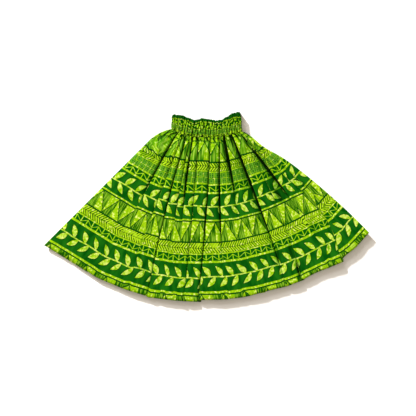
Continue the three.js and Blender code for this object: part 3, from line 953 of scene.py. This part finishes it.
def print_group():
    """Colour of the printed cotton and how wet its ink lies, from the place on the cloth."""
    tree, entry, leave = new_group(
        "leaf_and_tapa_print",
        [("Along", "NodeSocketFloat"), ("Up", "NodeSocketFloat")],
        [("Colour", "NodeSocketColor"), ("Light Ink", "NodeSocketFloat")],
    )
    raw_along, raw_up = Field(tree, entry.outputs[0]), Field(tree, entry.outputs[1])
    wobble = noise(tree, raw_along, raw_up, 40, seed=5.0)
    along = raw_along + (wobble - 0.5) * 0.0030
    up = raw_up + (noise(tree, raw_along, raw_up, 34, seed=9.0) - 0.5) * 0.0026

    patches = noise(tree, raw_along, raw_up, 95, detail=1.5, seed=1.0)
    bright = blend(tree, patches.over(0.52, 0.16), LIME, STRONG_LIME)
    bright = blend(tree, patches.under(0.40, 0.10), bright, PALE_LIME)
    blots = noise(tree, raw_along, raw_up, 62, detail=3.0, seed=7.0)
    mottle = blots.over(0.53, 0.12)
    bright = blend(tree, blots.under(0.40, 0.08) * 0.8, bright, DEEP_LIME)
    streaks = noise(tree, raw_along, raw_up, 250, stretch=14, detail=2.0, seed=2.0)
    hatched = blend(tree, streaks.over(0.47, 0.14), HATCH_DARK, HATCH_LIGHT)
    hatched = blend(tree, streaks.over(0.56, 0.10) * 0.8, hatched, HATCH_PALE)
    wide = noise(tree, raw_along, raw_up, 120, stretch=9, detail=1.5, seed=13.0)
    broad = blend(tree, wide.over(0.46, 0.12), BROAD_DARK, BROAD_LIGHT)
    broad = blend(tree, wide.over(0.58, 0.07) * 0.8, broad, BROAD_PALE)
    tufts = noise(tree, raw_along, raw_up, 210, stretch=6, detail=1.0, seed=6.0)
    fringe = blend(tree, tufts.over(0.49, 0.14), HATCH_DARK, HATCH_LIGHT)
    fringe = blend(tree, tufts.over(0.61, 0.08) * 0.8, fringe, HATCH_PALE)
    hem_lime = blend(tree, tufts.under(0.46, 0.10) * 0.55, bright, DEEP_LIME)
    # painted shade: the ground darkens to SHADE_GREEN in soft patches drawn out upwards, standing in for the
    # shade of soft folds
    folds = noise(tree, raw_along, raw_up, 38, stretch=2.5, detail=1.0, seed=4.0)
    ground = blend(tree, folds.over(0.5, 0.3), DEEP_GREEN, SHADE_GREEN)

    colour, light = ground, along * 0

    def lay(name, band_colour, band_light):
        nonlocal colour, light
        low, high = band_limits(name)
        mask = up.within(low, high, 0.0012)
        colour = blend(tree, mask, colour, band_colour)
        light = light * (1 - mask) + mask * band_light

    for name, way, upper, lower in (("low_leaves", -1, 0.037, 0.0585), ("high_leaves", 1, 0.0495, 0.025)):
        ink, rim, vein = garland(tree, along, up, name, way, upper, lower)
        leaf = blend(tree, vein * 0.35, blend(tree, mottle * 0.55, bright, PALE_LIME), STRONG_LIME)
        lay(name, blend(tree, ink, blend(tree, rim, ground, DARK_GREEN), leaf), ink)
    fresh = blend(tree, 0.6, bright, FRESH_LIME)
    for name, thin, start in (
        ("low_zigzag", 0.0010, 0.0495), ("high_zigzag", 0.0014, 0.040), ("crest_zigzag", 0.0046, 0.0),
    ):
        ink = zigzag(along, up, name, thin, start)
        lay(name, blend(tree, ink, MID_GREEN, fresh), ink)
    for name, way in (("low_chevrons", -1), ("high_chevrons", 1), ("crest_chevrons", -1)):
        ink, pale = chevrons(tree, along, up, name, way)
        stroke = blend(tree, pale.over(0.35, 0.3), STROKE_LIME, bright)
        lay(name, blend(tree, ink, DARK_GREEN, stroke), ink)
    for name, top, height, pitch, way, start in (
        ("hem_triangles", 0.0230, 0.082, HEM_PITCH, -1, HEM_START),
        ("triangles", 0.3320, 0.082, TRIANGLE_PITCH, 1, TRIANGLE_START),
        ("high_triangles", 0.6670, 0.077, TRIANGLE_PITCH, 1, TRIANGLE_START),
    ):
        lime, line = triangles(along, up, top, height, pitch, way, start)
        hatch, full = (broad if name == "high_triangles" else hatched), bright
        if name == "hem_triangles":
            hatch, full = fringe, hem_lime
        filled = blend(tree, lime, hatch, full)
        lay(name, blend(tree, line, filled, LINE_GREEN), lime * (1 - line))
    for name in ("mat", "crest_mat"):
        strand, box = mat(along, up, name)
        field = blend(tree, streaks.over(0.48, 0.16), HATCH_DARK, MAT_GREEN)
        plait = blend(tree, strand * 0.6, field, STRAND_LIME)
        plait = blend(tree, box * noise(tree, along, up, 30, seed=8.0).over(0.40, 0.1), plait, bright)
        lay(name, plait, strand * 0.3)
    for name in ("hem_line", "low_dark", "top_dark", "high_dark"):
        lay(name, LINE_GREEN, along * 0)
    lay("crest_dark", hatched, along * 0)
    for name in ("low_line", "low_edge", "low_thin", "high_line", "high_edge", "high_thin",
                 "mat_line", "crest_thin", "crest_line", "crest_edge"):
        lay(name, bright, along * 0 + 1)

    tree.links.new(colour, leave.inputs[0])
    plug(tree, light, leave.inputs[1])
    return tree


def weave_group():
    """Height of a plain weave with its slubs, and how thick the slubs are."""
    tree, entry, leave = new_group(
        "broadcloth_weave",
        [("Along", "NodeSocketFloat"), ("Up", "NodeSocketFloat"), ("Threads", "NodeSocketFloat")],
        [("Height", "NodeSocketFloat"), ("Slub", "NodeSocketFloat")],
    )
    along, up, threads = (Field(tree, socket) for socket in entry.outputs[:3])
    warp = (along * threads * (2 * math.pi)).sine()
    weft = (up * threads * (2 * math.pi)).sine()
    slub = noise(tree, along, up, 900, stretch=0.08, detail=1.0, seed=3.0)
    plug(tree, warp * weft * 0.5 + 0.5 + slub * 0.4, leave.inputs[0])
    plug(tree, slub, leave.inputs[1])
    return tree


PRINT = print_group()
WEAVE = weave_group()


def cotton(name, reverse=False):
    """Printed cotton broadcloth, with painted shade in its creases. The reverse shows the same print, paler
    and duller.
    """
    material = bpy.data.materials.new(name)
    material.use_nodes = True
    tree = material.node_tree
    tree.nodes.clear()
    output = tree.nodes.new("ShaderNodeOutputMaterial")
    shader = tree.nodes.new("ShaderNodeBsdfPrincipled")
    tree.links.new(shader.outputs[0], output.inputs["Surface"])
    cloth = tree.nodes.new("ShaderNodeUVMap")
    cloth.uv_map = "cloth"
    split = tree.nodes.new("ShaderNodeSeparateXYZ")
    tree.links.new(cloth.outputs[0], split.inputs[0])
    printed = tree.nodes.new("ShaderNodeGroup")
    printed.node_tree = PRINT
    weave = tree.nodes.new("ShaderNodeGroup")
    weave.node_tree = WEAVE
    weave.inputs["Threads"].default_value = THREADS
    for group in (printed, weave):
        tree.links.new(split.outputs[0], group.inputs["Along"])
        tree.links.new(split.outputs[1], group.inputs["Up"])
    painted_shade = tree.nodes.new("ShaderNodeAttribute")
    painted_shade.attribute_name = "painted_shade"
    depth = Field(tree, painted_shade.outputs["Fac"])
    slub = Field(tree, weave.outputs["Slub"])
    colour = printed.outputs["Colour"]
    if reverse:
        colour = blend(tree, 0.55, colour, FADED_GREEN)
    colour = blend(tree, slub.over(0.5, 0.6) * 0.10, colour, SLUB_GREEN)
    # painted shade: the print is tinted darker where the painted shade attribute is, and near to black where
    # it is deepest
    colour = tint(tree, (depth * 1.8).least(1), colour, PAINTED_SHADE_TINT)
    colour = blend(tree, depth.over(0.66, 0.52) * PAINTED_SHADE_DARKEST, colour, PAINTED_SHADE_BLACK)
    tree.links.new(colour, shader.inputs["Base Color"])
    rough = Field(tree, printed.outputs["Light Ink"]) * -0.06 + 0.86
    plug(tree, rough, shader.inputs["Roughness"])
    shader.inputs["Specular IOR Level"].default_value = 0.03
    shader.inputs["Sheen Weight"].default_value = 0.012
    shader.inputs["Sheen Tint"].default_value = (0.6, 1, 0.4, 1)
    shader.inputs["Sheen Roughness"].default_value = 0.5
    bump = tree.nodes.new("ShaderNodeBump")
    bump.inputs["Strength"].default_value = 0.25
    bump.inputs["Distance"].default_value = 0.0002
    tree.links.new(weave.outputs["Height"], bump.inputs["Height"])
    tree.links.new(bump.outputs[0], shader.inputs["Normal"])
    return material


# ---------------------------------------------------------------- pieces

OUTSIDE = cotton("printed_cotton_outside")
INSIDE = cotton("printed_cotton_inside", reverse=True)


def place(piece, node, slot):
    piece.data.materials.append(OUTSIDE)
    piece.data.materials.append(INSIDE)
    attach(piece, "root")
    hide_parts(node)


front = skirt_front()
back = skirt_back()
casing_front = casing("waist_casing_front_cloth", True)
casing_back = casing("waist_casing_back_cloth", False)
place(front, "skirt_front", "printed_cotton")
place(back, "skirt_back", "printed_cotton")
place(casing_front, "waist_casing_front", "ruched_cotton")
place(casing_back, "waist_casing_back", "ruched_cotton")

# ---------------------------------------------------------------- stage, light and camera

TABLE_HALF = 60

bm = bmesh.new()
bmesh.ops.create_grid(bm, x_segments=1, y_segments=1, size=TABLE_HALF)
floor_mesh = bpy.data.meshes.new("table")
bm.to_mesh(floor_mesh)
bm.free()
floor = bpy.data.objects.new("table", floor_mesh)
bpy.context.scene.collection.objects.link(floor)
paint = bpy.data.materials.new("white_table")
paint.use_nodes = True
paint.node_tree.nodes["Principled BSDF"].inputs["Base Color"].default_value = (0.9, 0.9, 0.9, 1)
paint.node_tree.nodes["Principled BSDF"].inputs["Roughness"].default_value = 0.9
floor_mesh.materials.append(paint)

world = bpy.data.worlds.new("studio")
bpy.context.scene.world = world
world.use_nodes = True
world.node_tree.nodes["Background"].inputs["Color"].default_value = (1, 0.87, 0.70, 1)
world.node_tree.nodes["Background"].inputs["Strength"].default_value = 0.52


def sun(name, strength, angle, height, colour):
    """A lamp far away at the upper left. angle is its width and height its height, in degrees."""
    light = bpy.data.lights.new(name, "SUN")
    light.energy, light.color = strength, colour
    light.angle = math.radians(angle)
    lamp = bpy.data.objects.new(name, light)
    bpy.context.scene.collection.objects.link(lamp)
    level = math.cos(math.radians(height))
    way = Vector((0.6 * level, -0.8 * level, -math.sin(math.radians(height))))
    lamp.rotation_mode = "QUATERNION"
    lamp.rotation_quaternion = way.to_track_quat("-Z", "Y")
    return lamp


key = sun("key", strength=2.98, angle=8, height=42, colour=(0.94, 1.0, 1.06))
grazing = sun("grazing", strength=15.5, angle=3, height=10.5, colour=(1, 1, 1))
softer = sun("softer", strength=2.0, angle=13, height=18, colour=(1, 0.98, 0.96))
on_table = bpy.data.collections.new("on_table")
on_table.objects.link(floor)
grazing.light_linking.receiver_collection = on_table
softer.light_linking.receiver_collection = on_table
on_cloth = bpy.data.collections.new("on_cloth")
for piece in (front, back, casing_front, casing_back):
    on_cloth.objects.link(piece)
key.light_linking.receiver_collection = on_cloth

LENS, SENSOR = 85, 36
VIEW_WIDTH = 1747.2 * MM  # at the table
AIM = (6.3 * MM, -2.1 * MM)
AIM_HEIGHT = 0.012
camera_data = bpy.data.cameras.new("camera")
camera_data.lens, camera_data.sensor_width = LENS, SENSOR
camera = bpy.data.objects.new("camera", camera_data)
bpy.context.scene.collection.objects.link(camera)
camera.location = (*AIM, VIEW_WIDTH * LENS / SENSOR + AIM_HEIGHT)
camera_data.clip_end = 50
bpy.context.scene.camera = camera

scene = bpy.context.scene
scene.view_settings.view_transform = "Standard"
scene.view_settings.look = "None"
